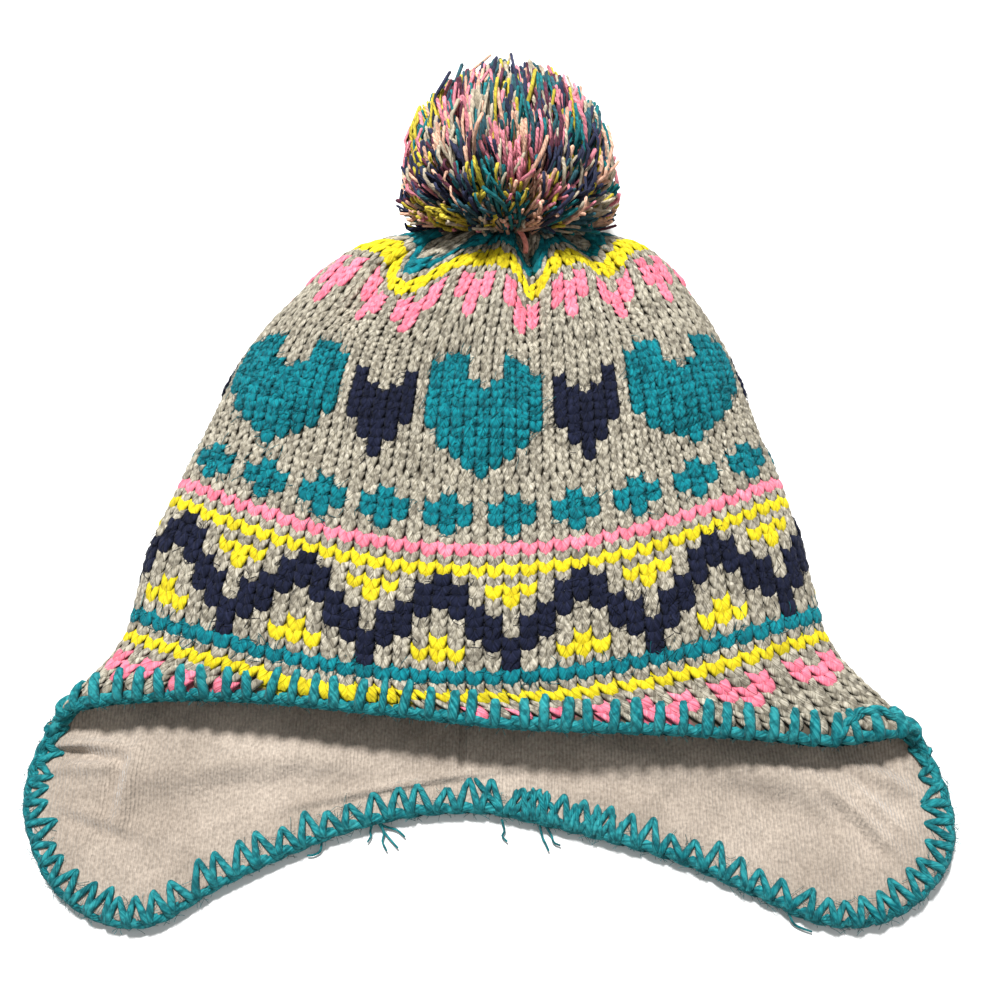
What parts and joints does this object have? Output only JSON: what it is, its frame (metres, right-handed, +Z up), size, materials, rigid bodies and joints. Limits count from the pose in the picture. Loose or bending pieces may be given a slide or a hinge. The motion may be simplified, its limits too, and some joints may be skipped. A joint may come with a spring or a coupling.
{
  "type": "pom-pom hat",
  "caption": "Knitted earflap winter hat with a gathered crown, a lining, a stitched edging and a round pompom, lying flattened on its back.",
  "frame": {"origin": "on the floor under the middle of the hat, on the flat underside of the knitted wall", "axes": "+Z up from the floor, +Y from the brim to the crown and pompom, +X to the viewer's right when the brim faces the viewer"},
  "size_m": [0.2531, 0.2609, 0.0658],
  "materials": {
    "knit_wool": "heather grey knitted wool, matt",
    "lining_jersey": "beige grey brushed jersey, matt",
    "edging_wool": "teal wool yarn, matt",
    "pompom_wool": "mixed teal, navy, pink, yellow and grey yarn, matt",
    "tie_wool": "pink yarn, matt"
  },
  "bodies": {
    "root": {"knit_shell": "knit_wool", "lining": "lining_jersey", "edging": "edging_wool", "pompom": "pompom_wool", "pompom_tie": "tie_wool"}
  },
  "joints": []
}
